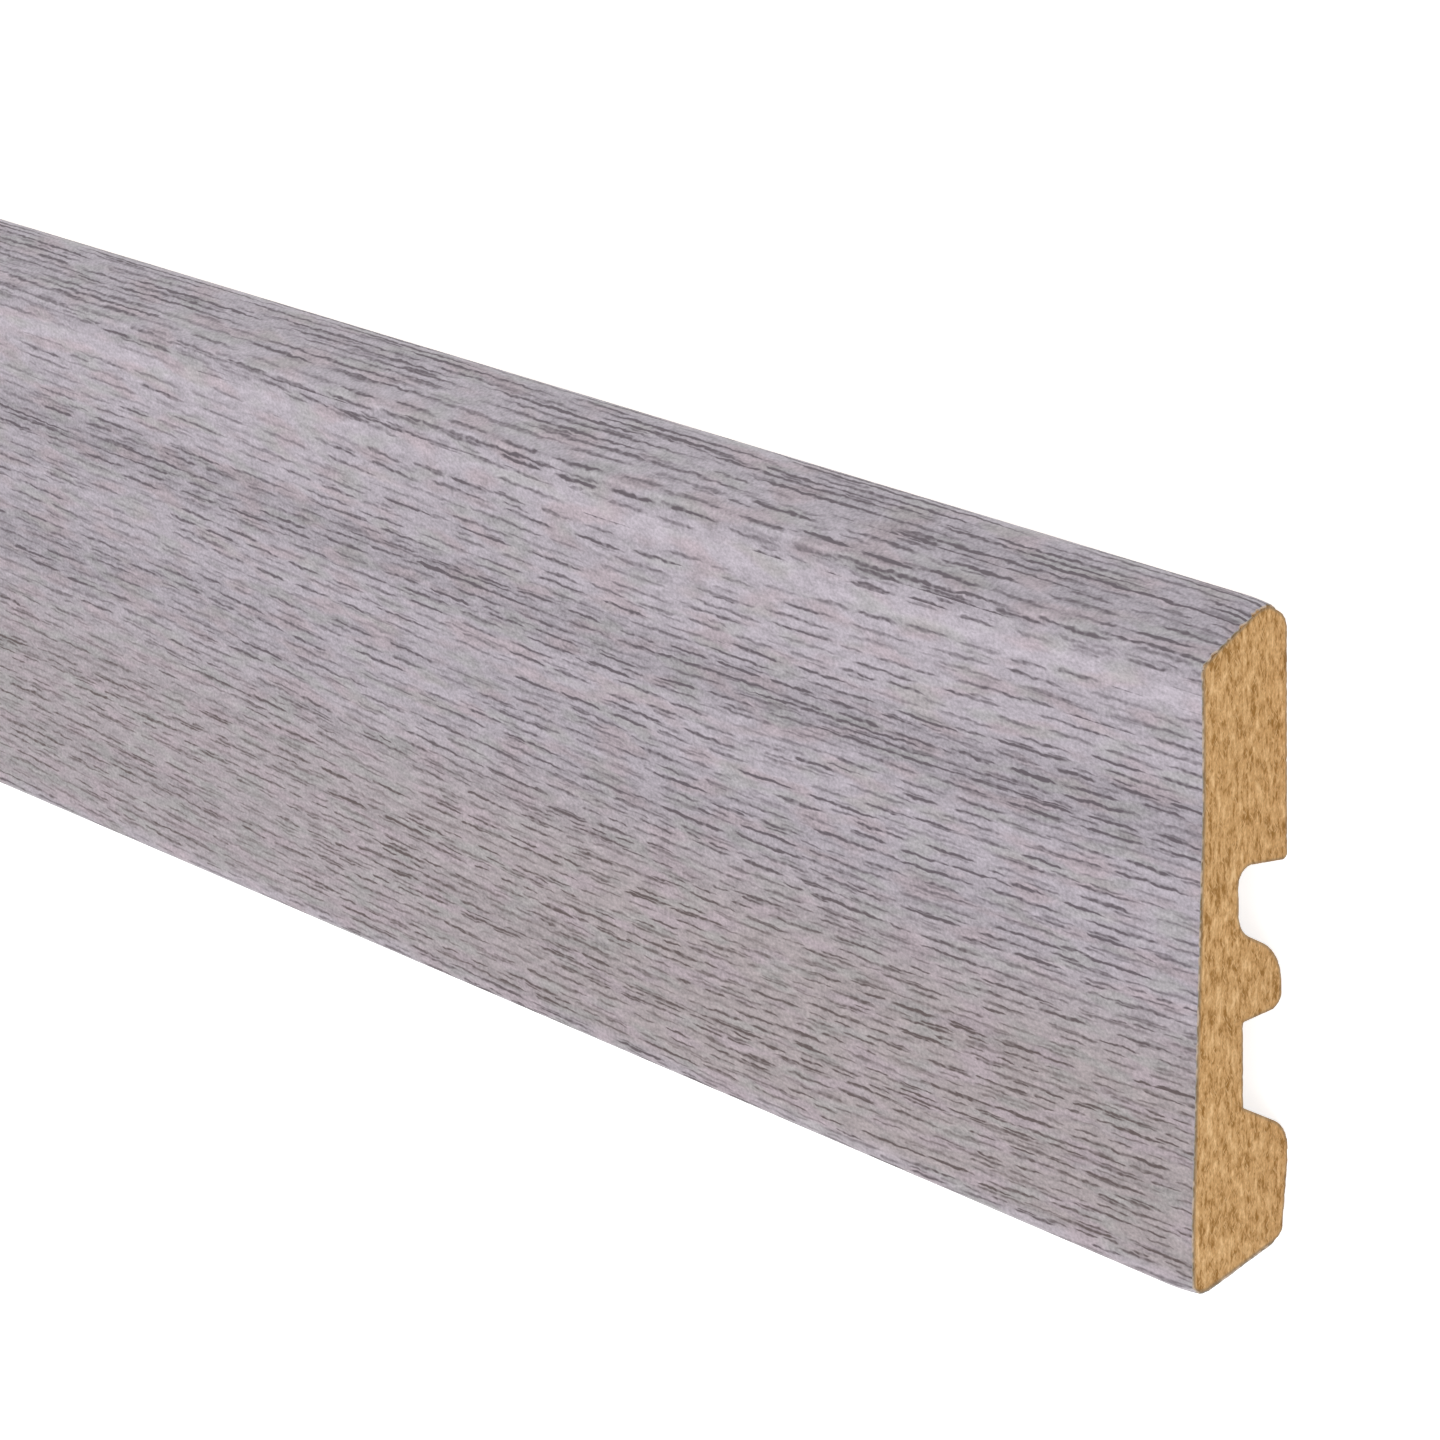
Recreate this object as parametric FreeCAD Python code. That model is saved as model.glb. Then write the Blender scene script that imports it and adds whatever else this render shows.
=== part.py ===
import FreeCAD, Part
import math
import os

# Skirting board length
#
# A strip of milled MDF with a thin printed foil wrapped round its front, as one sold length of it lies:
# on its back, with the printed face up. X runs along the board, Y up its height from the floor edge to
# the crest, and Z out from the wall plane. The origin is the middle of the length and of the height, on
# the wall plane. Sizes are in millimetres. A height is measured up from the floor, a depth out from the
# wall plane.

# Overall sizes, over the foil
board_length = 2400.0
board_height = 80.0
base_thickness = 16.0
shoulder_thickness = 13.7
foil_thickness = 0.3

# Face: upright above the nose and below the shoulder, with a slight taper between
base_band_height = 8.0
upper_band_width = 16.0
face_blend_radius = 120.0

# Top: the face turns at the shoulder and climbs to a narrow crest, with a bevel down to the back
shoulder_drop = 4.4
shoulder_radius = 1.2
crest_width = 1.5
crest_setback = 2.7
crest_radius = 2.2
back_drop = 2.0
back_top_radius = 3.3

# Nose and underside: a narrow land stands on the floor, and the underside rises from it to the heel
nose_radius = 1.0
nose_land = 2.4
relief_radius = 8.0
relief_rise = 2.3
heel_setback = 1.0
heel_radius = 1.6

# Foot: leans back to the wall above the heel, and its top slopes into the cable recess
heel_height = 12.0
foot_height = 16.0
foot_radius = 5.0
foot_slope_rise = 4.8

# Cable recess, above the foot
recess_depth = 7.4
recess_width = 10.5
recess_corner_radius = 0.3

# Rib between the recess and the groove: square below, sloping into the groove above
rib_setback = 1.0
rib_width = 6.6
rib_lower_radius = 1.7
rib_upper_radius = 7.0
rib_slope_rise = 4.6

# Clip groove, under the back block, whose lower wall hooks down over a clip
groove_depth = 8.0
groove_width = 7.8
groove_lower_radius = 3.8
groove_upper_radius = 1.9
groove_hook = 1.5
lip_radius = 0.7

# The least straight run that is left between two roundings
shortest_straight = 0.1


def at(height, depth):
    """A point of the cross-section, on the board's first end."""
    return FreeCAD.Vector(-board_length / 2, height - board_height / 2, depth)


class Corner:
    """Where two straight runs of an outline meet, and the radius that rounds it."""

    def __init__(self, point, radius=0.0):
        self.point = point
        self.radius = radius


def directions(before, corner, after):
    """Unit vectors from a corner back along its first run and on along its second."""
    back = (before.point - corner.point).normalize()
    on = (after.point - corner.point).normalize()
    return back, on


def half_turn(back, on):
    """Half the angle by which an outline turns at a corner."""
    return (math.pi - back.getAngle(on)) / 2


def fitted(corners):
    """A closed outline's corners, with smaller radii where two roundings would meet on a run."""
    count = len(corners)
    needs = []
    for i, corner in enumerate(corners):
        turn = half_turn(*directions(corners[i - 1], corner, corners[(i + 1) % count]))
        needs.append(corner.radius * math.tan(turn))
    shares = []
    for i, corner in enumerate(corners):
        after = (i + 1) % count
        room = corner.point.distanceToPoint(corners[after].point) - shortest_straight
        needed = needs[i] + needs[after]
        shares.append(1.0 if needed <= room else room / needed)
    result = []
    for i, corner in enumerate(corners):
        result.append(Corner(corner.point, corner.radius * min(shares[i - 1], shares[i])))
    return result


def rounding(before, corner, after):
    """Start, middle and end of the arc that rounds a corner."""
    back, on = directions(before, corner, after)
    turn = half_turn(back, on)
    run_used = corner.radius * math.tan(turn)
    inward = (back + on).normalize()
    middle_away = corner.radius / math.cos(turn) - corner.radius
    start = corner.point + back * run_used
    middle = corner.point + inward * middle_away
    end = corner.point + on * run_used
    return start, middle, end


def edges_along(path):
    """Straight edges and arcs of an open path. Its first and last corners are its ends."""
    edges = []
    reached = path[0].point
    for i in range(1, len(path) - 1):
        if path[i].radius > 0:
            start, middle, end = rounding(path[i - 1], path[i], path[i + 1])
            edges.append(Part.LineSegment(reached, start).toShape())
            edges.append(Part.Arc(start, middle, end).toShape())
        else:
            end = path[i].point
            edges.append(Part.LineSegment(reached, end).toShape())
        reached = end
    edges.append(Part.LineSegment(reached, path[-1].point).toShape())
    return edges


def moved_out(path, distance):
    """An open path moved sideways, away from the core, with its arcs on the same centres."""
    along = FreeCAD.Vector(1, 0, 0)
    result = []
    for i, corner in enumerate(path):
        sides = []
        if i > 0:
            run = (corner.point - path[i - 1].point).normalize()
            sides.append(run.cross(along))
        if i < len(path) - 1:
            run = (path[i + 1].point - corner.point).normalize()
            sides.append(run.cross(along))
        outward = (sides[0] + sides[-1]).normalize()
        reach = distance / outward.dot(sides[0])
        bulges = along.dot(sides[0].cross(sides[-1])) > 0
        radius = corner.radius + (distance if bulges else -distance)
        result.append(Corner(corner.point + outward * reach, radius))
    return result


def extruded(edges):
    """The closed outline, run along the whole board."""
    outline = Part.Wire(Part.__sortEdges__(edges))
    return Part.Face(outline).extrude(FreeCAD.Vector(board_length, 0, 0))


def front_corners():
    """The core's corners that the foil covers, from the crest over the face to the underside."""
    crest = board_height - foil_thickness
    shoulder = crest - shoulder_drop
    face_top = shoulder_thickness - foil_thickness
    face_base = base_thickness - foil_thickness
    return [
        Corner(at(crest, crest_setback), crest_radius),
        Corner(at(crest, crest_setback + crest_width), crest_radius),
        Corner(at(shoulder, face_top), shoulder_radius),
        Corner(at(shoulder - upper_band_width, face_top), face_blend_radius),
        Corner(at(base_band_height, face_base), face_blend_radius),
        Corner(at(foil_thickness, face_base), nose_radius),
        Corner(at(foil_thickness, face_base - nose_land), relief_radius),
    ]


def back_corners():
    """The core's bare corners, from the heel up the back to the top of the back block."""
    recess_bottom = foot_height + foot_slope_rise
    rib_bottom = recess_bottom + recess_width
    rib_top = rib_bottom + rib_width
    groove_bottom = rib_top + rib_slope_rise
    groove_top = groove_bottom + groove_width
    back_top = board_height - foil_thickness - back_drop
    return [
        Corner(at(foil_thickness + relief_rise, heel_setback), heel_radius),
        Corner(at(heel_height, 0)),
        Corner(at(foot_height, 0), foot_radius),
        Corner(at(recess_bottom, recess_depth), recess_corner_radius),
        Corner(at(rib_bottom, recess_depth), recess_corner_radius),
        Corner(at(rib_bottom, rib_setback), rib_lower_radius),
        Corner(at(rib_top, rib_setback), rib_upper_radius),
        Corner(at(groove_bottom, groove_depth), groove_lower_radius),
        Corner(at(groove_top, groove_depth), groove_upper_radius),
        Corner(at(groove_top - groove_hook, 0), lip_radius),
        Corner(at(back_top, 0), back_top_radius),
    ]


def mdf_core(front, back):
    """The milled core: its whole outline starts and ends on the plain back of the back block."""
    lip, back_top = back[-2:]
    start = Corner((lip.point + back_top.point) / 2)
    edges = edges_along([start, back_top] + front + back[:-1] + [start])
    return extruded(edges)


def decor_foil(front, back):
    """The foil, wrapped on the core from the middle of the bevel over crest, face and nose to the heel."""
    heel = back[0]
    back_top = back[-1]
    crest = front[0]
    bevel_foot = rounding(back[-2], back_top, crest)[2]
    bevel_head = rounding(back_top, crest, front[1])[0]
    top_end = (bevel_foot + bevel_head) / 2
    heel_end = rounding(front[-1], heel, back[1])[0]
    inner = [Corner(top_end)] + front + [Corner(heel_end)]
    outer = moved_out(inner, foil_thickness)
    edges = edges_along(inner) + edges_along(outer)
    edges.append(Part.LineSegment(inner[0].point, outer[0].point).toShape())
    edges.append(Part.LineSegment(inner[-1].point, outer[-1].point).toShape())
    return extruded(edges)


def main():
    front = front_corners()
    outline = fitted(front + back_corners())
    front, back = outline[: len(front)], outline[len(front) :]
    os.makedirs("parts", exist_ok=True)
    mdf_core(front, back).exportStep("parts/mdf_core.step")
    decor_foil(front, back).exportStep("parts/decor_foil.step")


main()
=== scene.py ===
import math

import bmesh
import bpy
from mathutils import Matrix, Vector, noise
from mathutils.kdtree import KDTree


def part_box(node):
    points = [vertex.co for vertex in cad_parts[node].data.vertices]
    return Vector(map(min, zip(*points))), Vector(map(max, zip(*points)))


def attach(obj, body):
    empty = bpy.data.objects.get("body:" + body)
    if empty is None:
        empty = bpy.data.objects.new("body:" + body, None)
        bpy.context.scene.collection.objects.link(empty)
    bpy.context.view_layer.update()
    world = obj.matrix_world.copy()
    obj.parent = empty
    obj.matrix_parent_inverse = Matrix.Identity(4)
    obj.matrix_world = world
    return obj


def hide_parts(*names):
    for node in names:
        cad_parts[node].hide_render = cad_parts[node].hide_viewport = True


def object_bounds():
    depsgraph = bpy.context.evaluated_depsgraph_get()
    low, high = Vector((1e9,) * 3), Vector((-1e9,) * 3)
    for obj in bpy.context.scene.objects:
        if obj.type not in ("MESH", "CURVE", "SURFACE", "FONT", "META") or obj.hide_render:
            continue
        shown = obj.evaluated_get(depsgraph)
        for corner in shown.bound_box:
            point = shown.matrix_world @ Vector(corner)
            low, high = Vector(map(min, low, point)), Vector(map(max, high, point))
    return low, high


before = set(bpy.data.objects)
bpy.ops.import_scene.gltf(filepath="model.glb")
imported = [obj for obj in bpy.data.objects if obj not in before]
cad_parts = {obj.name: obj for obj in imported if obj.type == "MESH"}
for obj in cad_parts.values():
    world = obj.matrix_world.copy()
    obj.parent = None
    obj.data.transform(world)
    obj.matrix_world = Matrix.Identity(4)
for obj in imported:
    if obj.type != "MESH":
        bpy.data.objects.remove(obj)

# Skirting board length: a milled MDF strip with a printed wood-grain foil wrapped round its front.
# The board lies on its back. X runs along it, Y up its height and Z out from the wall plane.
# Places and sizes are in metres. The patterns of the materials are worked out in millimetres.

MM = 0.001
board_low, board_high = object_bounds()
board_middle = (board_low + board_high) / 2

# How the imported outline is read: how near to the end's plane a face lies, to how many digits
# corners agree, and what tells an arc's chord, which is like its neighbour in length and turns a
# little
end_nearness = 0.01 * MM
corner_digits = 7
chord_likeness = 1.02
chord_turn_least = math.radians(0.3)
chord_turn_most = math.radians(30)
square_turn = math.radians(60)

# How finely the two pieces are made, and past which angle, in degrees, an edge shows
arc_parts = 4
foil_edge_angle = 35
core_edge_angle = 40
rim_step = 0.1 * MM
foil_step = 0.35 * MM
sawn_step_up = 0.3 * MM
sawn_step_out = 0.22 * MM
stations_from_end = [back * MM for back in (0.0, 0.3, 0.7, 1.2, 1.9, 2.8, 4.0, 8.0, 25.0, 60.0)]
station_spacing = 95 * MM

# What the saw left at the cut ends
sawn_relief = 0.09 * MM
fleck_up = 1.0 * MM
fleck_out = 0.3 * MM
chip_reach = 0.45 * MM
face_chip_reach = chip_reach / 4
chip_least = 0.04
chip_width = 0.7 * MM
chip_fade = 3 * MM
chipped_slope_height = 5 * MM

# What trimming and handling took off: the foil's long edges are feathered, and the ends' sharpest
# corners, at the crest and the nose, are rubbed down
feather = 1.2 * MM
feather_depth = 0.8
crest_wear = 0.35 * MM
crest_wear_height = 3.5 * MM
nose_wear = 0.7 * MM
nose_wear_height = 2.5 * MM
wear_reach = 4.0 * MM

# The camera, from the middle of the near cut end's floor edge, and where it looks
camera_offset = Vector((0.36527, 0.23728, 0.40696))
camera_forward = Vector((-0.69851, -0.35921, -0.61891))
camera_up = Vector((-0.24061, 0.93243, -0.26961))
camera_lens = 132.5
camera_sensor = 36.0
camera_nearest = 10 * MM

# Where the faces of each piece lie on its map, from bottom to top. The foil's rows come twice, for
# the two halves of the board, and the core's milled sides have a row for each half
map_left, map_right = 0.005, 0.995
foil_rows = {
    "printed": (0.004, 0.455),
    "glued": (0.460, 0.480),
    "top_edge": (0.483, 0.486),
    "heel_edge": (0.488, 0.491),
    "cut_edge": (0.493, 0.498),
}
milled_rows = ((0.005, 0.295), (0.305, 0.595))
sawn_rows = ((0.603, 0.798), (0.803, 0.998))

# Which of its piece's materials a face takes
on_print, on_glue = 0, 1
on_milled, on_sawn = 0, 1

# Colours of the printed foil, as linear red, green and blue
print_ground = (0.493, 0.444, 0.499)
print_rose = (0.487, 0.405, 0.445)
print_sage = (0.425, 0.420, 0.412)
print_low = (0.443, 0.382, 0.392)
print_pore = (0.100, 0.078, 0.094)
print_low_pore = (0.092, 0.064, 0.062)
glue_brown = (0.240, 0.165, 0.085)
foil_grey = (0.300, 0.280, 0.250)
torn_paper = (0.640, 0.500, 0.390)

# Depth of the relief on the print and on the foil's cut edge
print_relief = 0.015 * MM
foil_edge_relief = 0.05 * MM

# Colours of the fibreboard
fibre_tan = (0.540, 0.312, 0.127)
fibre_dark = (0.285, 0.138, 0.031)
fibre_light = (0.760, 0.500, 0.250)
# A darker rim along the outline of each cut end
rim_dark = (0.220, 0.165, 0.105)


# Outlines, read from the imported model. A point of an outline is (height, depth).


def end_outline(node):
    """The closed outline of a node's cut end, anticlockwise."""
    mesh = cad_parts[node].data
    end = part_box(node)[1].x
    rim = set()
    for polygon in mesh.polygons:
        corners = [mesh.vertices[v].co for v in polygon.vertices]
        if any(abs(corner.x - end) > end_nearness for corner in corners):
            continue
        points = [tuple(round(place, corner_digits) for place in corner.yz) for corner in corners]
        for side in zip(points, points[1:] + points[:1]):
            if side[::-1] in rim:
                rim.remove(side[::-1])
            else:
                rim.add(side)
    following = dict(rim)
    outline = [min(following)]
    while following[outline[-1]] != outline[0]:
        outline.append(following[outline[-1]])
    return [Vector(point) for point in outline]


def turn_at(before, corner, after):
    """How far an outline turns to the left at a corner, in radians."""
    return -(corner - before).angle_signed(after - corner)


def circle_centre(a, b, c):
    """The centre of the circle through three points."""
    ab, ac = b - a, c - a
    scale = 2 * ab.cross(ac)
    x = (ac.y * ab.length_squared - ab.y * ac.length_squared) / scale
    y = (ab.x * ac.length_squared - ac.x * ab.length_squared) / scale
    return a + Vector((x, y))


def on_one_arc(a, b, c):
    """Whether two chords in a row belong to one arc: they are alike, and turn a little."""
    lengths = (b - a).length, (c - b).length
    turn = abs(turn_at(a, b, c))
    alike = max(lengths) < chord_likeness * min(lengths)
    return alike and chord_turn_least < turn < chord_turn_most


def smoothed(outline):
    """A closed outline with every chord of its arcs divided, along the arc."""
    points = []
    for i, start in enumerate(outline):
        before = outline[i - 1]
        end = outline[(i + 1) % len(outline)]
        after = outline[(i + 2) % len(outline)]
        points.append(start)
        if on_one_arc(before, start, end):
            centre = circle_centre(before, start, end)
        elif on_one_arc(start, end, after):
            centre = circle_centre(start, end, after)
        else:
            continue
        spoke = start - centre
        sweep = -spoke.angle_signed(end - centre)
        for part in range(1, arc_parts):
            points.append(centre + Matrix.Rotation(sweep * part / arc_parts, 2) @ spoke)
    return points


def divided(path, step):
    """An open path with no two points further apart than a step."""
    points = [path[0]]
    for a, b in zip(path, path[1:]):
        parts = math.ceil((b - a).length / step)
        points += [a.lerp(b, part / parts) for part in range(1, parts + 1)]
    return points


def lengths_along(path):
    """How far each point of a path lies from the first, along it."""
    lengths = [0.0]
    for a, b in zip(path, path[1:]):
        lengths.append(lengths[-1] + (b - a).length)
    return lengths


def foil_lines():
    """The foil's outer and inner line, from the bevel behind the crest round to the heel."""
    outline = smoothed(end_outline("decor_foil"))
    count = len(outline)
    corners = [
        i for i in range(count)
        if turn_at(outline[i - 1], outline[i], outline[(i + 1) % count]) > square_turn
    ]
    around = outline[corners[0]:] + outline[:corners[0] + 1]
    cuts = [i - corners[0] for i in corners] + [count]
    sides = sorted(
        (around[a:b + 1] for a, b in zip(cuts, cuts[1:])),
        key=lambda side: lengths_along(side)[-1],
    )
    thickness = lengths_along(sides[0])[-1]
    outer = divided(sides[-1], foil_step)
    lengths = lengths_along(outer)
    inner, feathered = [], []
    for i, point in enumerate(outer):
        run = outer[min(i + 1, len(outer) - 1)] - outer[max(i - 1, 0)]
        run.normalize()
        down = thickness * Vector((run.y, -run.x))
        from_edge = min(lengths[i], lengths[-1] - lengths[i]) / feather
        inner.append(point - down)
        feathered.append(point - down * feather_depth * max(0, 1 - from_edge) ** 2)
    return feathered, inner


def stations():
    """The places of the sections along the board, closer together near the cut ends."""
    half = board_high.x - board_middle.x
    inner = half - stations_from_end[-1]
    parts = math.ceil(inner / station_spacing)
    steps = [inner * part / parts for part in range(1, parts)]
    steps += [half - back for back in reversed(stations_from_end)]
    return [-step for step in reversed(steps)] + [0.0] + steps


# Meshes. Each piece brings its own map, so that its patterns stay sharp when they are baked.


class Chart:
    """A row of a piece's map, which a stretch of its surface fills."""

    def __init__(self, bottom, top):
        self.low = Vector((map_left, bottom))
        self.span = Vector((map_right - map_left, top - bottom))

    def at(self, across, up):
        return self.low + Vector((self.span.x * across, self.span.y * up))


def add_face(bm, map_layer, corners, spots, material):
    """A face with its place on the map."""
    face = bm.faces.new(corners)
    face.material_index = material
    for loop, spot in zip(face.loops, spots):
        loop[map_layer].uv = spot


def rub_down(bm):
    """Rounds the crest and the nose off towards the cut ends."""
    nose = Vector((board_low.y, board_high.z))
    for vertex in bm.verts:
        place = vertex.co
        near_end = max(0, 1 - (board_high.x - abs(place.x)) / wear_reach) ** 2
        near_crest = max(0, 1 - (board_high.y - place.y) / crest_wear_height)
        near_nose = max(0, 1 - (place.yz - nose).length / nose_wear_height) ** 2
        place.y += near_end * (nose_wear * near_nose - crest_wear * near_crest)
        place.z -= near_end * nose_wear * near_nose / 2


def finished(bm, name, materials, sharp):
    """The piece that a bmesh holds, shaded smooth up to an angle and riding on the one body."""
    rub_down(bm)
    bmesh.ops.recalc_face_normals(bm, faces=bm.faces)
    mesh = bpy.data.meshes.new(name)
    bm.to_mesh(mesh)
    bm.free()
    for material in materials:
        mesh.materials.append(material)
    mesh.shade_smooth()
    mesh.set_sharp_from_angle(angle=math.radians(sharp))
    piece = bpy.data.objects.new(name, mesh)
    bpy.context.scene.collection.objects.link(piece)
    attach(piece, "root")
    return piece


def chipped(distance, reach, seed):
    """How far the saw broke the foil back from the cut, at a distance round it, in uneven steps."""
    wave = noise.noise(Vector((distance / chip_width, seed, 0.5)))
    fine = noise.noise(Vector((distance / chip_width * 2.3, seed, 7.5)))
    return reach * max(chip_least, 0.35 + 0.9 * wave + 0.5 * fine)


def foil_mesh(materials):
    """The foil: its printed outside, the glued inside, its long edges and its two cut edges."""
    outer, inner = foil_lines()
    lengths = lengths_along(outer)
    crest = max(range(len(outer)), key=lambda i: (outer[i].x, -i))
    bm = bmesh.new()
    map_layer = bm.loops.layers.uv.new("OFBake")
    unrolled = bm.verts.layers.float_vector.new("unrolled")
    places = stations()
    columns = []
    for x in places:
        column = []
        for i, length in enumerate(lengths):
            on_slope = outer[i].x > board_high.y - chipped_slope_height
            reach = chip_reach if on_slope else face_chip_reach
            side = math.copysign(1, x)
            fade = max(0, 1 - (board_high.x - abs(x)) / chip_fade)
            back = chipped(length, reach, side) * fade
            pair = []
            for depth, line in ((0, outer), (1, inner)):
                vertex = bm.verts.new((x - side * back, line[i].x, line[i].y))
                vertex[unrolled] = (x / MM, (length - lengths[crest]) / MM, depth)
                pair.append(vertex)
            column.append(pair)
        columns.append(column)

    last = len(outer) - 1
    half = len(places) // 2
    for row, first in enumerate((0, half)):
        charts = {
            name: Chart(bottom + row / 2, top + row / 2)
            for name, (bottom, top) in foil_rows.items()
        }
        run = places[first + half] - places[first]
        for k in range(first, first + half):
            left, right = columns[k], columns[k + 1]
            a, b = ((places[j] - places[first]) / run for j in (k, k + 1))
            for i in range(last):
                c, d = (lengths[j] / lengths[-1] for j in (i, i + 1))
                for layer, name, material in ((0, "printed", on_print), (1, "glued", on_glue)):
                    ring = left[i], left[i + 1], right[i + 1], right[i]
                    corners = [pair[layer] for pair in ring]
                    spots = [charts[name].at(u, v) for u, v in ((a, c), (a, d), (b, d), (b, c))]
                    add_face(bm, map_layer, corners, spots, material)
            for i, name in ((0, "top_edge"), (last, "heel_edge")):
                corners = left[i][0], left[i][1], right[i][1], right[i][0]
                spots = [charts[name].at(u, v) for u, v in ((a, 0), (a, 1), (b, 1), (b, 0))]
                add_face(bm, map_layer, corners, spots, on_glue)
        column = columns[0 if row == 0 else -1]
        for i in range(last):
            c, d = (lengths[j] / lengths[-1] for j in (i, i + 1))
            corners = column[i][0], column[i + 1][0], column[i + 1][1], column[i][1]
            spots = [charts["cut_edge"].at(u, v) for u, v in ((c, 0), (d, 0), (d, 1), (c, 1))]
            add_face(bm, map_layer, corners, spots, on_glue)
    return finished(bm, "foil_wrap", materials, foil_edge_angle)


def cut_across(bm, faces, axis, step, low, high):
    """Faces, each cut by planes across an axis, one step apart."""
    normal = Vector((0, 0, 0))
    normal[axis] = 1
    done = []
    for number in range(1, math.ceil((high - low) / step)):
        place = low + number * step
        geometry = faces + list({edge for face in faces for edge in face.edges})
        geometry += list({vertex for face in faces for vertex in face.verts})
        cut = bmesh.ops.bisect_plane(
            bm, geom=geometry, dist=1e-8, plane_co=normal * place, plane_no=normal
        )
        made = [part for part in cut["geom"] if isinstance(part, bmesh.types.BMFace)]
        faces = [face for face in made if face.calc_center_median()[axis] > place]
        done += [face for face in made if face.calc_center_median()[axis] <= place]
    return done + faces


def sawn(bm, face, end, chart, map_layer, depth_layer, rim_layer):
    """A cut end, divided finely and pressed in where the saw tore fibres out."""
    node_low, node_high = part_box("mdf_core")
    rim = [vertex.co.yz for vertex in face.verts]
    rim = divided(rim + rim[:1], rim_step)
    nearest = KDTree(len(rim))
    for i, point in enumerate(rim):
        nearest.insert((0, point.x, point.y), i)
    nearest.balance()
    faces = cut_across(bm, [face], 1, sawn_step_up, node_low.y, node_high.y)
    faces = cut_across(bm, faces, 2, sawn_step_out, node_low.z, node_high.z)
    size = node_high - node_low
    for vertex in {vertex for face in faces for vertex in face.verts}:
        y, z = vertex.co.y, vertex.co.z
        fibre = noise.noise(Vector((y / fleck_up, z / fleck_out, end)))
        tear = noise.noise(Vector((y / fleck_up * 2.3, z / fleck_out * 1.9, end + 9)))
        pit = min(1, max(0, 0.35 + 0.8 * fibre + 0.6 * tear))
        vertex[depth_layer] = pit
        vertex[rim_layer] = min(1, nearest.find((0, y, z))[2] / MM)
        vertex.co.x -= math.copysign(sawn_relief, end) * pit
    for face in faces:
        face.material_index = on_sawn
        for loop in face.loops:
            at = loop.vert.co - node_low
            loop[map_layer].uv = chart.at(at.y / size.y, at.z / size.z)


def core_mesh(materials):
    """The core: its milled sides and its two sawn ends."""
    outline = smoothed(end_outline("mdf_core"))
    lengths = lengths_along(outline + outline[:1])
    bm = bmesh.new()
    map_layer = bm.loops.layers.uv.new("OFBake")
    depth_layer = bm.verts.layers.float.new("torn")
    rim_layer = bm.verts.layers.float.new("rim")
    places = stations()
    rings = [[bm.verts.new((x, point.x, point.y)) for point in outline] for x in places]
    for vertex in bm.verts:
        vertex[rim_layer] = 1.0
    half = len(places) // 2
    for row, first in enumerate((0, half)):
        chart = Chart(*milled_rows[row])
        run = places[first + half] - places[first]
        for k in range(first, first + half):
            a, b = ((places[j] - places[first]) / run for j in (k, k + 1))
            for i in range(len(outline)):
                following = (i + 1) % len(outline)
                c, d = (lengths[j] / lengths[-1] for j in (i, i + 1))
                here, ahead = rings[k], rings[k + 1]
                corners = here[i], here[following], ahead[following], ahead[i]
                spots = [chart.at(u, v) for u, v in ((a, c), (a, d), (b, d), (b, c))]
                add_face(bm, map_layer, corners, spots, on_milled)
    for ring, end, row in zip((rings[0], rings[-1]), (-1, 1), sawn_rows):
        sawn(bm, bm.faces.new(ring), end, Chart(*row), map_layer, depth_layer, rim_layer)
    return finished(bm, "mdf_strip", materials, core_edge_angle)


# Materials


def feed(tree, value, socket):
    """Links a socket to another node's output, or sets a plain value on the socket itself."""
    if isinstance(value, Field):
        tree.links.new(value.socket, socket)
    else:
        socket.default_value = value


class Field:
    """What a shader node gives, which varies over a surface. Numbers take plain arithmetic."""

    def __init__(self, tree, socket):
        self.tree = tree
        self.socket = socket

    def math(self, operation, *others):
        node = self.tree.nodes.new("ShaderNodeMath")
        node.operation = operation
        for value, socket in zip((self, *others), node.inputs):
            feed(self.tree, value, socket)
        return Field(self.tree, node.outputs[0])

    def __add__(self, other):
        return self.math("ADD", other)

    def __sub__(self, other):
        return self.math("SUBTRACT", other)

    def __mul__(self, other):
        return self.math("MULTIPLY", other)

    def __truediv__(self, other):
        return self.math("DIVIDE", other)

    def __abs__(self):
        return self.math("ABSOLUTE")

    def from_one(self):
        return self * -1 + 1

    def whole(self):
        return self.math("FLOOR")

    def part(self):
        return self.math("FRACT")

    def under(self, limit):
        return self.math("LESS_THAN", limit)

    def at_most(self, limit):
        return self.math("MINIMUM", limit)

    def at_least(self, limit):
        return self.math("MAXIMUM", limit)

    def eased(self, start, end, low=0.0, high=1.0):
        """Goes gently from low to high, as the number goes from start to end."""
        node = self.tree.nodes.new("ShaderNodeMapRange")
        node.interpolation_type = "SMOOTHSTEP"
        for value, socket in zip((self, start, end, low, high), node.inputs):
            feed(self.tree, value, socket)
        return Field(self.tree, node.outputs[0])

    def past(self, place, blur):
        """0 before a place and 1 after it, and eased between, over a blur to either side."""
        return self.eased(place - blur, place + blur)

    def before(self, place, blur):
        """1 before a place and 0 after it, and eased between, over a blur to either side."""
        return self.eased(place + blur, place - blur)

    def near(self, place, core, reach):
        """1 within a core round a place, and eased to 0 at its reach."""
        return abs(self - place).eased(reach, core)

    def split(self):
        """The three numbers of a vector or colour."""
        node = self.tree.nodes.new("ShaderNodeSeparateXYZ")
        feed(self.tree, self, node.inputs[0])
        return [Field(self.tree, socket) for socket in node.outputs]


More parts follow.
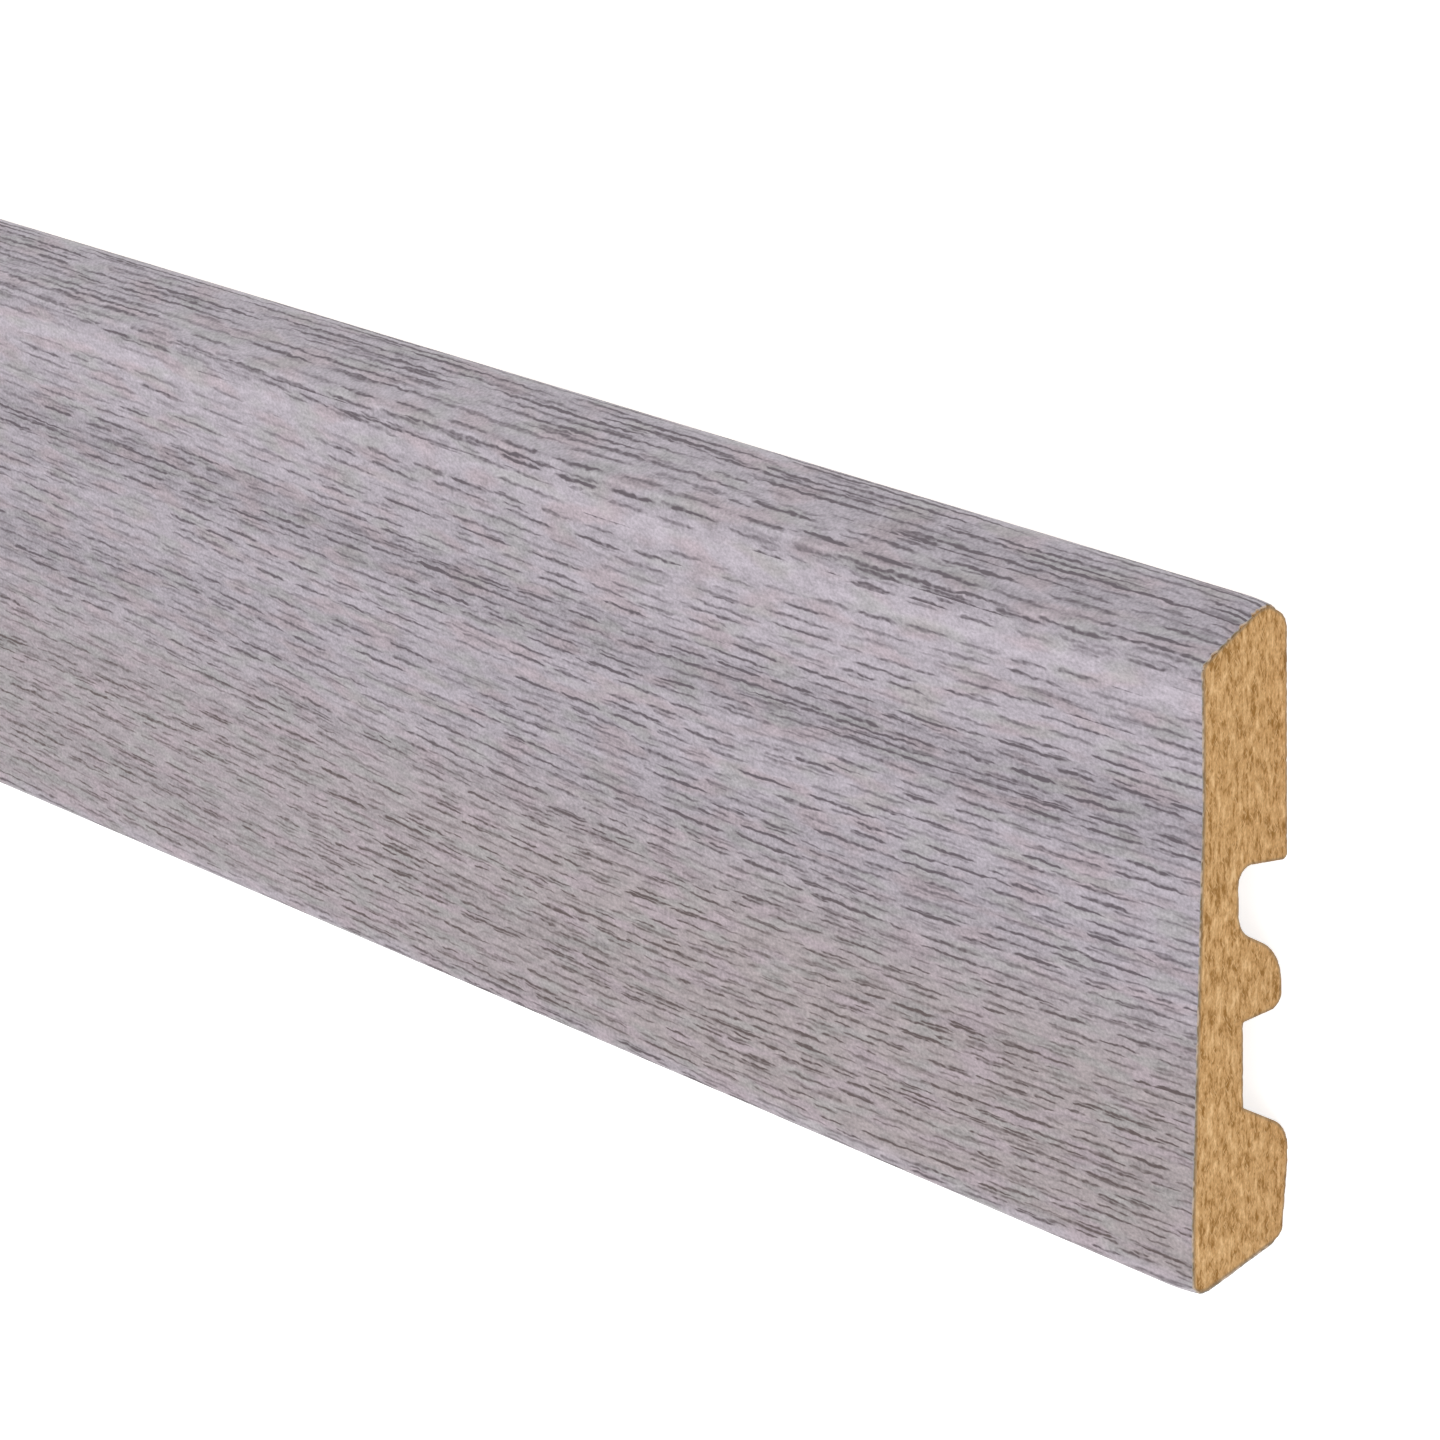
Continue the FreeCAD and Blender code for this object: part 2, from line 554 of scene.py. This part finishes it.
class Finish:
    """A material, with the patterns that its colour, roughness and relief are made of."""

    def __init__(self, name):
        self.material = bpy.data.materials.new(name)
        self.material.use_nodes = True
        self.tree = self.material.node_tree
        self.shader = self.tree.nodes["Principled BSDF"]

    def node(self, kind, output, **settings):
        node = self.tree.nodes.new(kind)
        for name, value in settings.items():
            setattr(node, name, value)
        return node, Field(self.tree, node.outputs[output])

    def attribute(self, name, output="Vector"):
        return self.node("ShaderNodeAttribute", output, attribute_name=name)[1]

    def place(self):
        """The place on the object, in millimetres."""
        return [axis / MM for axis in self.node("ShaderNodeTexCoord", "Object")[1].split()]

    def vector(self, *numbers):
        node, field = self.node("ShaderNodeCombineXYZ", 0)
        for value, socket in zip(numbers, node.inputs):
            feed(self.tree, value, socket)
        return field

    def noise(self, dimensions, place, detail, roughness):
        """Soft noise between 0 and 1, one wave or so to each unit."""
        node, field = self.node("ShaderNodeTexNoise", "Fac", noise_dimensions=dimensions)
        feed(self.tree, place, node.inputs["Vector"])
        for name, value in (("Scale", 1.0), ("Detail", detail), ("Roughness", roughness)):
            node.inputs[name].default_value = value
        return field

    def clouds(self, x, y, z=0.0, detail=1.0, roughness=0.5):
        """Noise that runs through the piece."""
        return self.noise("3D", self.vector(x, y, z), detail, roughness)

    def prints(self, x, y, seed, detail=0.0, roughness=0.6):
        """Noise on a flat sheet, where each seed takes another part of the pattern."""
        return self.noise("2D", self.vector(x + seed, y), detail, roughness)

    def draws(self, *numbers):
        """Three numbers drawn by lot for each set of whole numbers."""
        node, field = self.node("ShaderNodeTexWhiteNoise", "Color", noise_dimensions="3D")
        feed(self.tree, self.vector(*numbers), node.inputs["Vector"])
        return field.split()

    def mixed(self, first, second, share):
        """A colour between two others."""
        node, field = self.node("ShaderNodeMix", "Result", data_type="RGBA")
        field.socket = node.outputs[2]
        feed(self.tree, share, node.inputs[0])
        for colour, socket in ((first, node.inputs[6]), (second, node.inputs[7])):
            feed(self.tree, colour if isinstance(colour, Field) else (*colour, 1.0), socket)
        return field

    def dimmed(self, colour, factor):
        """A colour times a number."""
        node, field = self.node("ShaderNodeVectorMath", 0, operation="SCALE")
        feed(self.tree, colour, node.inputs[0])
        feed(self.tree, factor, node.inputs["Scale"])
        return field

    def set(self, colour, roughness, height, relief, **plain):
        """Feeds the shader. The height runs from 0 to 1, and 1 stands for the relief, in metres."""
        feed(self.tree, colour, self.shader.inputs["Base Color"])
        feed(self.tree, roughness, self.shader.inputs["Roughness"])
        bump, normal = self.node("ShaderNodeBump", 0)
        bump.inputs["Distance"].default_value = relief
        feed(self.tree, height, bump.inputs["Height"])
        feed(self.tree, normal, self.shader.inputs["Normal"])
        for name, value in plain.items():
            self.shader.inputs[name.replace("_", " ")].default_value = value
        return self.material


# The printed grain. Its measures are in millimetres, and places round the board count from the
# crest, down the face. The rows of pores lie row_pitch apart, and further apart over the slope and
# the shoulder, which spares a few rows. They rise in a long wave, which grows from the crest down
# and has a crown near the end that shows.
row_pitch = 1.4
spared_rows, spared_place, spared_blur = 2.8, 10.0, 12.0
crown_place, crown_length, crown_height = 1105, 50, 1.8
wave_place, wave_blur = 10.0, 14.0

# The zones of the print, and the highlights painted into it: where each ends or lies, and how far
# it fades
slope_foot, slope_blur = 6.9, 0.5
shoulder_foot, shoulder_blur = 13.0, 1.0
# The quiet band has fewer pores, and is painted lighter too, as part of the shoulder's highlight
quiet_top, quiet_top_blur = 13.5, 1.5
quiet_foot, quiet_foot_blur = 25.5, 2.5
# A painted highlight below the shoulder: lighter ground with fewer pores
gleam_place, gleam_core, gleam_reach = 15.6, 0.7, 1.7
streak_place, streak_core, streak_reach = 30.5, 2.0, 4.5
second_streak_place, second_streak_core, second_streak_reach = 48.0, 2.0, 6.0
low_top, low_blur = 56.0, 10.0
# Where the nose's painted highlight, a pale strip along the bottom edge, begins
nose_highlight_top, nose_highlight_blur = 84.3, 1.1

# Towards the end that shows, the pores are bolder and the lower face is warmer
bolder_place, bolder_blur, faint_pores = 1060.0, 60.0, 0.8
warmer_place, warmer_blur, faint_warmth = 1075.0, 55.0, 0.6

# How strokes vary: their slots' length and shift, where they are widest, how far they lie off their
# row, how thin their ends are, how soft their sides and how dark their ink
slot_least, slot_spread, slot_shift = 0.65, 0.7, 91.7
head_least, head_spread = 0.22, 0.4
off_middle = 0.3
end_width, belly_width = 0.55, 0.45
outer_side, inner_side = 1.4, 0.2
ink_least, ink_spread = 0.58, 0.5


def strokes(finish, along, rows, lean, seed, slot, fill, width, share):
    """Strokes of a printed grain, end to end in rows. They swell to a belly and taper off.

    rows counts the rows across the grain. Each is parted in slots about as long as slot, in
    millimetres, and a share of them holds a stroke, which fills at least a part of its slot. Its
    half width is a share of the row's pitch, and it leans by a share of it from end to end.
    """
    row = rows.whole()
    off_row = rows.part() - 0.5
    shift, stretch, _ = finish.draws(row, seed, 0.0)
    run = along / (stretch * (slot * slot_spread) + slot * slot_least) + shift * slot_shift
    length, start, lift = finish.draws(row, run.whole(), seed)
    chance, ink, head = finish.draws(row, run.whole(), seed + 0.5)
    length = length * (1 - fill) + fill
    at = (run.part() - length.from_one() * start) / length
    head = head * head_spread + head_least
    belly = (at / head).at_most(at.from_one() / head.from_one()).at_least(0.0)
    middle = (lift - 0.5) * off_middle + (at - 0.5) * lean
    reach = belly.eased(0.0, 0.7) * (width * belly_width) + width * end_width
    body = abs(off_row - middle).eased(reach * outer_side, reach * inner_side)
    body = body * belly.eased(0.0, 0.4)
    return body * chance.under(share) * (ink * ink_spread + ink_least)


def printed_foil():
    """Cool light grey wood grain on a satin foil: dark pores in rows on mottled ground, and painted
    highlights.
    """
    finish = Finish("printed_foil")
    along, around, _ = finish.attribute("unrolled").split()

    def wander(length, width, seed, reach, detail=0.0):
        """A soft shift to and fro, in patches of a length along the board and a width across it."""
        return (finish.prints(along / length, around / width, seed, detail) - 0.5) * reach

    # The grain wanders: a long wave, a slow drift, a shorter sway and the wobble of single pores
    crown = ((along - crown_place) / crown_length).math("COSINE")
    wave = crown * -crown_height
    drift = wander(260, 90, seed=1.3, reach=1.7)
    sway = wander(24, 9, seed=3.1, reach=0.5)
    wobble = wander(2.6, 1.2, seed=7.2, reach=0.46, detail=2.0)
    grain = around + (wave + drift) * around.past(wave_place, wave_blur) + sway
    bunching = (finish.prints(grain / 3.4, along / 300, 11.0) - 0.5) * 0.25
    rows = grain / row_pitch - grain.past(spared_place, spared_blur) * spared_rows
    rows = rows + bunching + wobble

    # Zones round the board: lined top slope, bold shoulder, painted highlight below it, quiet band
    # that is also painted lighter, darker streaks, busy lower face and painted highlight on the
    # nose
    slope = around.before(slope_foot, slope_blur)
    bold = around.past(slope_foot, slope_blur) * around.before(shoulder_foot, shoulder_blur)
    # Quiet band: fewer pores, and a painted highlight that lightens its ground
    quiet = around.past(quiet_top, quiet_top_blur) * grain.before(quiet_foot, quiet_foot_blur)
    # Painted highlight below the shoulder: lighter ground and fewer pores there
    gleam = around.near(gleam_place, gleam_core, gleam_reach)
    # Painted highlight on the nose: lighter ground, and less of the lower face's warm tone
    nose = around.past(nose_highlight_top, nose_highlight_blur)
    low = around.past(low_top, low_blur) * (nose * -0.7 + 1)
    patches = finish.prints(along / 80, grain / 4.5, 20.0, 1.0).eased(0.47, 0.72)
    streak = grain.near(streak_place, streak_core, streak_reach)
    second_streak = grain.near(second_streak_place, second_streak_core, second_streak_reach)
    second_streak = second_streak * finish.prints(along / 90, 0.4, 31.0).eased(0.35, 0.6)
    dark = (streak * 0.9 + second_streak * 0.6 + patches * 0.6).at_most(1.0)
    zones = {
        "crown": crown, "slope": slope, "bold": bold, "gleam": gleam, "quiet": quiet,
        "streak": streak, "dark": dark, "low": low, "nose": nose,
    }

    def by_zone(base, **weights):
        """A number that each named zone raises or lowers by its weight."""
        total = base
        for name, weight in weights.items():
            total = zones[name] * weight + total
        return total

    # The pores: long strokes, short ones between, and fine lines on the slope and in the streak
    lean = wander(60, 12, seed=37.0, reach=0.5) + 0.08
    pores = strokes(
        finish, along, rows, lean, seed=3.0, slot=12.0, fill=0.8, width=0.155,
        share=by_zone(0.92, dark=0.1, quiet=-0.04, bold=0.1, slope=-0.6, low=-0.15, gleam=-0.75),
    )
    short = strokes(
        finish, along, rows * 1.3 + 0.3, lean, seed=17.0, slot=7.0, fill=0.65, width=0.155,
        share=by_zone(0.5, dark=0.4, low=0.4, quiet=-0.25, gleam=-0.4),
    )
    lines = strokes(
        finish, along, rows * 1.7, 0.0, seed=29.0, slot=46.0, fill=0.85, width=0.225,
        share=by_zone(0.0, slope=0.95, bold=0.3, streak=0.4),
    )
    broken = finish.prints(along / 1.2, rows * 1.1, 12.0).eased(0.15, 0.5, 0.65, 1.15)
    weight = finish.prints(along / 26, rows / 1.2, 3.0).eased(0.25, 0.7, 0.65, 1.15)
    grit = finish.prints(along / 0.7, around / 0.45, 80.0)
    pore = pores * by_zone(0.95, bold=0.15, quiet=-0.1, dark=0.25)
    pore = pore.at_least(short * by_zone(0.65, low=0.3)).at_least(lines * 1.3)
    pore = pore * broken * weight * (grit * 0.6 + 0.7)
    bolder = along.eased(bolder_place - bolder_blur, bolder_place + bolder_blur, faint_pores, 1.0)
    pore = (pore * bolder).at_most(1.0)

    # The ground: rose and sage mottling, a warmer lower face, fibres and light specks
    warmer = along.eased(warmer_place - warmer_blur, warmer_place + warmer_blur, faint_warmth, 1.0)
    ground = finish.mixed(print_ground, print_low, low * warmer)
    rose = finish.prints(along / 9, rows / 1.6, 40.0).eased(0.46, 0.76)
    sage = finish.prints(along / 8, rows / 1.4, 50.0).eased(0.5, 0.8)
    ground = finish.mixed(ground, print_rose, rose * 0.8)
    ground = finish.mixed(ground, print_sage, sage * 0.5)
    fibres = finish.prints(along / 3.2, rows / 0.5, 60.0, 1.0)
    specks = finish.prints(along / 0.5, around / 0.35, 70.0, 1.0)
    # The ground's tone. The highlights below the shoulder and on the nose, and the lighter quiet
    # band, are painted light
    tone = by_zone(
        0.935, dark=-0.16, slope=-0.1, bold=-0.07, quiet=0.05,
        gleam=0.1, crown=0.02, nose=0.08, low=-0.025,
    )
    ground = finish.dimmed(ground, tone + (fibres - 0.5) * 0.55 + (specks - 0.5) * 0.65)
    ink = finish.mixed(print_pore, print_low_pore, low)
    colour = finish.mixed(ground, ink, pore * 0.95)

    roughness = pore * 0.18 + fibres * 0.08 + 0.36
    return finish.set(colour, roughness, specks, print_relief, Specular_IOR_Level=0.42)


def foil_edge():
    """The foil's cut edge: a grey film over a broken line of brown glue and pale torn paper."""
    finish = Finish("foil_edge")
    along, around, depth = finish.attribute("unrolled").split()
    ragged = finish.clouds(along / 0.6, around / 0.6, 5.0, 3.0)
    torn = finish.clouds(along / 0.7, around / 1.6, 25.0, 2.0, 0.6)
    glue = (depth + ragged * 0.5).eased(0.45, 0.85)
    colour = finish.mixed(foil_grey, glue_brown, glue)
    colour = finish.mixed(colour, torn_paper, torn.eased(0.45, 0.62) * 0.7)
    return finish.set(colour, ragged * 0.2 + 0.55, ragged, foil_edge_relief)


def fibreboard(name, relief, cutter_pitch, tone):
    """Golden tan fibreboard. Its fibres lie in the board's plane, so a cut end shows flecks."""
    finish = Finish(name)
    x, y, z = finish.place()
    fibres = finish.clouds(x / 1.1, y / 1.5, z / 0.42, 2.0, 0.55)
    fine = finish.clouds(x / 0.4, y / 0.42, z / 0.24, 2.0, 0.6)
    bundles = finish.clouds(x / 3.0, y / 3.4, z / 1.2, 2.0, 0.6)
    leaning = finish.clouds(x / 0.5, (y + z * 0.5) / 1.5, (z - y * 0.5) / 0.24, 1.0)
    counter = finish.clouds(x / 0.5, (y - z * 0.6) / 1.4, (z + y * 0.6) / 0.24, 1.0)
    crossed = leaning.at_least(counter)
    blots = finish.clouds(x / 14, y / 14, z / 5)
    torn = finish.attribute("torn", "Fac")
    shade = fibres + fine * 0.4 + bundles * 1.05 - torn * 0.08
    colour = finish.mixed(fibre_tan, fibre_dark, shade.eased(1.24, 0.93) * 0.95)
    light = shade.eased(1.2, 1.56).at_least(crossed.eased(0.58, 0.72) * 0.6)
    colour = finish.mixed(colour, fibre_light, light)
    # Darker along the outline of each cut end, over less than half a millimetre
    rim_darkening = finish.attribute("rim", "Fac").eased(0.45, 0.08)
    colour = finish.mixed(colour, rim_dark, rim_darkening * (fine * 0.6 + 0.3))
    colour = finish.dimmed(colour, fine * 0.3 + blots * 0.1 + tone)
    roughness = fine * 0.15 + 0.78
    cutter = (x * (2 * math.pi / cutter_pitch)).math("SINE") * 0.15
    height = fibres * 0.6 + fine * 0.3 + cutter
    return finish.set(colour, roughness, height, relief, Specular_IOR_Level=0.25)


def floor_white():
    """White, with the board's shadow, and as bright as the backdrop where nothing shades it."""
    material = bpy.data.materials.new("floor_white")
    material.use_nodes = True
    tree = material.node_tree
    tree.nodes.clear()
    output = tree.nodes.new("ShaderNodeOutputMaterial")
    paint = tree.nodes.new("ShaderNodeBsdfDiffuse")
    paint.inputs["Color"].default_value = (floor_albedo, floor_albedo, floor_albedo, 1)
    glow = tree.nodes.new("ShaderNodeEmission")
    glow.inputs["Strength"].default_value = floor_glow
    both = tree.nodes.new("ShaderNodeAddShader")
    choice = tree.nodes.new("ShaderNodeMixShader")
    path = tree.nodes.new("ShaderNodeLightPath")
    seen = tree.nodes.new("ShaderNodeMath")
    seen.operation = "MAXIMUM"
    tree.links.new(path.outputs["Is Camera Ray"], seen.inputs[0])
    tree.links.new(path.outputs["Is Glossy Ray"], seen.inputs[1])
    tree.links.new(paint.outputs[0], both.inputs[0])
    tree.links.new(glow.outputs[0], both.inputs[1])
    tree.links.new(seen.outputs[0], choice.inputs[0])
    tree.links.new(paint.outputs[0], choice.inputs[1])
    tree.links.new(both.outputs[0], choice.inputs[2])
    tree.links.new(choice.outputs[0], output.inputs[0])
    return material


# The studio

floor_half = 20.0
floor_albedo = 0.8
floor_glow = 0.82
sky_strength = 0.5
lamps = {
    # name: where it stands from the near end's middle, its width, its power in watts
    "key_lamp": (Vector((0.9, 0.5, 2.2)), 1.6, 18.0),
    "end_lamp": (Vector((2.2, -0.3, 0.9)), 1.4, 12.0),
    "far_lamp": (Vector((-1.7, 0.9, 1.5)), 1.2, 12.0),
}


def floor():
    """A plain white floor at the board's back."""
    corners = [(-1, -1), (1, -1), (1, 1), (-1, 1)]
    points = [
        (board_middle.x + floor_half * x, board_middle.y + floor_half * y, board_low.z)
        for x, y in corners
    ]
    mesh = bpy.data.meshes.new("floor")
    mesh.from_pydata(points, [], [(0, 1, 2, 3)])
    mesh.materials.append(floor_white())
    ground = bpy.data.objects.new("floor", mesh)
    bpy.context.scene.collection.objects.link(ground)


def sky():
    """Soft white light from all round, which the camera and reflections see as plain white."""
    world = bpy.data.worlds.new("studio")
    bpy.context.scene.world = world
    world.use_nodes = True
    tree = world.node_tree
    background = tree.nodes["Background"]
    background.inputs["Color"].default_value = (1, 1, 1, 1)
    path = tree.nodes.new("ShaderNodeLightPath")
    seen = Field(tree, path.outputs["Is Camera Ray"])
    for kind in ("Is Glossy Ray", "Is Transmission Ray"):
        seen = seen.at_least(Field(tree, path.outputs[kind]))
    feed(tree, seen * (1 - sky_strength) + sky_strength, background.inputs["Strength"])


def lights():
    """Wide soft lamps that all face the board's near end."""
    aim = Vector((board_high.x, board_middle.y, board_middle.z))
    for name, (offset, width, power) in lamps.items():
        lamp = bpy.data.lights.new(name, "AREA")
        lamp.shape = "DISK"
        lamp.size = width
        lamp.energy = power
        holder = bpy.data.objects.new(name, lamp)
        holder.location = aim + offset
        holder.rotation_euler = offset.to_track_quat("Z", "Y").to_euler()
        bpy.context.scene.collection.objects.link(holder)


def camera():
    """The photo's view, across the near end and along the face."""
    eye = bpy.data.cameras.new("camera")
    eye.lens = camera_lens
    eye.sensor_width = camera_sensor
    eye.clip_start = camera_nearest
    holder = bpy.data.objects.new("camera", eye)
    back = -camera_forward.normalized()
    right = camera_up.cross(back).normalized()
    turn = Matrix((right, back.cross(right), back)).transposed()
    place = Vector((board_high.x, board_middle.y, board_low.z)) + camera_offset
    holder.matrix_world = Matrix.Translation(place) @ turn.to_4x4()
    bpy.context.scene.collection.objects.link(holder)
    bpy.context.scene.camera = holder


def main():
    milled = fibreboard("mdf_milled", relief=0.03 * MM, cutter_pitch=1.4, tone=0.8)
    cut = fibreboard("mdf_sawn", relief=0.05 * MM, cutter_pitch=2.9, tone=0.9)
    core = core_mesh([milled, cut])
    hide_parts("mdf_core")
    foil = foil_mesh([printed_foil(), foil_edge()])
    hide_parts("decor_foil")
    floor()
    sky()
    lights()
    camera()
    bpy.context.scene.view_settings.view_transform = "Standard"


main()
